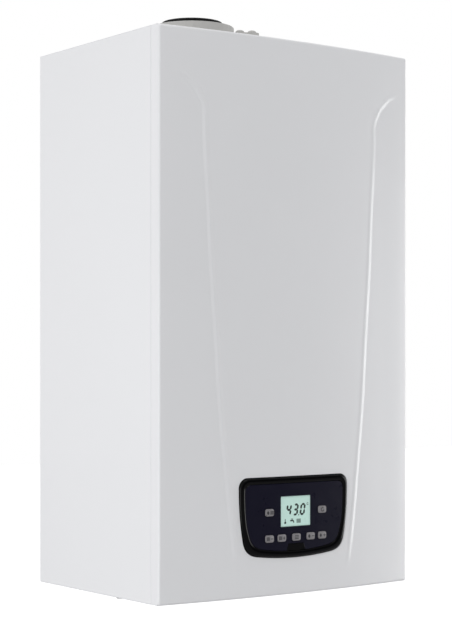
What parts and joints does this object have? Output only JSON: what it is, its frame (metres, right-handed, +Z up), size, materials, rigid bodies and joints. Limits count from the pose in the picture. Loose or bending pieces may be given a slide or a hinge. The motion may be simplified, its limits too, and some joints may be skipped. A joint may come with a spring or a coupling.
{
  "type": "combi boiler",
  "caption": "Wall-hung condensing combi boiler: white casing with a bowed lift-off front, black control fascia with display and buttons, concentric flue socket on top, full working inside",
  "frame": {"origin": "middle of the wall bracket's back face, on the wall and on the casing's centre line, 640 mm above the casing's underside", "axes": "+Z up, +Y into the wall, front faces -Y, +X to the right seen from the front"},
  "size_m": [0.4, 0.2998, 0.7713],
  "materials": {
    "white_enamel": "satin white powder coat",
    "galvanised": "galvanised sheet",
    "flue_grey": "matt light grey",
    "seal_black": "matt black",
    "stainless": "drawn stainless",
    "cast_aluminium": "cast, lightly sparkled",
    "brass": "dull brass",
    "copper": "dull copper",
    "black_plastic": "moulded black",
    "grey_plastic": "moulded grey",
    "vessel_red": "satin red paint",
    "knob_red": "red",
    "knob_blue": "blue",
    "ceramic_white": "glazed",
    "board_green": "solder resist",
    "fascia_black": "high gloss",
    "fascia_navy": "gloss, dark navy",
    "display_mint": "lit display",
    "button_grey": "fine texture"
  },
  "bodies": {
    "casing": {"wall_bracket": "galvanised", "rear_frame": "galvanised", "left_side_panel": "white_enamel", "right_side_panel": "white_enamel", "top_panel": "white_enamel", "bottom_tray": "galvanised", "flue_adapter": "flue_grey", "flue_duct": "flue_grey", "flue_lip_seal": "seal_black", "heat_exchanger_shell": "stainless", "heat_exchanger_coil": "stainless", "burner_door": "cast_aluminium", "burner": "stainless", "ignition_electrode": "ceramic_white", "premix_duct": "cast_aluminium", "fan_housing": "cast_aluminium", "fan_motor": "black_plastic", "gas_mixer": "cast_aluminium", "air_intake_pipe": "black_plastic", "gas_valve": "cast_aluminium", "gas_supply_pipe": "copper", "flow_manifold": "brass", "return_manifold": "brass", "diverter_actuator": "black_plastic", "plate_exchanger": "stainless", "pump_housing": "grey_plastic", "pump_motor": "black_plastic", "air_vent": "brass", "flow_pipe": "copper", "return_pipe": "copper", "expansion_vessel": "vessel_red", "expansion_hose": "seal_black", "condensate_trap": "grey_plastic", "condensate_hose": "grey_plastic", "safety_valve": "brass"},
    "cover": {"front_cover": "white_enamel", "cover_screw_left": "stainless", "cover_screw_right": "stainless"},
    "control_box": {"control_housing": "black_plastic", "control_rear_cover": "black_plastic", "control_board": "board_green", "fascia_frame": "fascia_black", "fascia_panel": "fascia_navy", "sensor_window": "fascia_black", "lcd_display": "display_mint"},
    "fan_impeller": {"fan_impeller": "black_plastic"},
    "pump_impeller": {"pump_impeller": "black_plastic"},
    "diverter_stem": {"diverter_stem": "stainless"},
    "safety_valve_knob": {"safety_valve_knob": "knob_red"},
    "filling_tap_knob": {"filling_tap_knob": "knob_blue"},
    "sampling_cap_inner": {"sampling_cap_inner": "flue_grey"},
    "sampling_cap_outer": {"sampling_cap_outer": "flue_grey"},
    "button_mode": {"button_mode": "button_grey"},
    "button_reset": {"button_reset": "button_grey"},
    "button_heating_down": {"button_heating_down": "button_grey"},
    "button_heating_up": {"button_heating_up": "button_grey"},
    "button_menu": {"button_menu": "button_grey"},
    "button_water_down": {"button_water_down": "button_grey"},
    "button_water_up": {"button_water_up": "button_grey"}
  },
  "joints": [
    {"name": "cover_slide", "type": "slide", "parent": "casing", "child": "cover", "axis": [0, -1, 0], "range_m": [0, 0.4]},
    {"name": "control_tilt", "type": "hinge", "parent": "casing", "child": "control_box", "pos_m": [0, -0.262, -0.618], "axis": [1, 0, 0], "range_deg": [0, 90]},
    {"name": "fan_spin", "type": "hinge", "parent": "casing", "child": "fan_impeller", "pos_m": [-0.085, -0.21, -0.334], "axis": [0, -1, 0], "continuous": true},
    {"name": "pump_spin", "type": "hinge", "parent": "casing", "child": "pump_impeller", "pos_m": [0.095, -0.1, -0.475], "axis": [0, -1, 0], "continuous": true},
    {"name": "diverter_travel", "type": "slide", "parent": "casing", "child": "diverter_stem", "axis": [0, 0, -1], "range_m": [0, 0.006]},
    {"name": "safety_valve_turn", "type": "hinge", "parent": "casing", "child": "safety_valve_knob", "pos_m": [0.124, -0.165, -0.56], "axis": [0, -1, 0], "range_deg": [0, 90]},
    {"name": "filling_tap_turn", "type": "hinge", "parent": "casing", "child": "filling_tap_knob", "pos_m": [0.093, -0.09, -0.64], "axis": [0, 0, 1], "range_deg": [0, 270]},
    {"name": "sampling_cap_inner_turn", "type": "hinge", "parent": "casing", "child": "sampling_cap_inner", "pos_m": [0.06072, -0.09832, 0.1], "axis": [0, 0, 1], "range_deg": [0, 360]},
    {"name": "sampling_cap_outer_turn", "type": "hinge", "parent": "casing", "child": "sampling_cap_outer", "pos_m": [0.07613, -0.1055, 0.1], "axis": [0, 0, 1], "range_deg": [0, 360]},
    {"name": "button_mode_press", "type": "slide", "parent": "control_box", "child": "button_mode", "axis": [0, 1, 0], "range_m": [0, 0.0012], "stiffness_N_per_m": 1200},
    {"name": "button_reset_press", "type": "slide", "parent": "control_box", "child": "button_reset", "axis": [0, 1, 0], "range_m": [0, 0.0012], "stiffness_N_per_m": 1200},
    {"name": "button_heating_down_press", "type": "slide", "parent": "control_box", "child": "button_heating_down", "axis": [0, 1, 0], "range_m": [0, 0.0012], "stiffness_N_per_m": 1200},
    {"name": "button_heating_up_press", "type": "slide", "parent": "control_box", "child": "button_heating_up", "axis": [0, 1, 0], "range_m": [0, 0.0012], "stiffness_N_per_m": 1200},
    {"name": "button_menu_press", "type": "slide", "parent": "control_box", "child": "button_menu", "axis": [0, 1, 0], "range_m": [0, 0.0012], "stiffness_N_per_m": 1200},
    {"name": "button_water_down_press", "type": "slide", "parent": "control_box", "child": "button_water_down", "axis": [0, 1, 0], "range_m": [0, 0.0012], "stiffness_N_per_m": 1200},
    {"name": "button_water_up_press", "type": "slide", "parent": "control_box", "child": "button_water_up", "axis": [0, 1, 0], "range_m": [0, 0.0012], "stiffness_N_per_m": 1200}
  ],
  "couplings": [
    {"joint": "control_tilt", "follows": "cover_slide", "rad_per_m": 3.92}
  ]
}
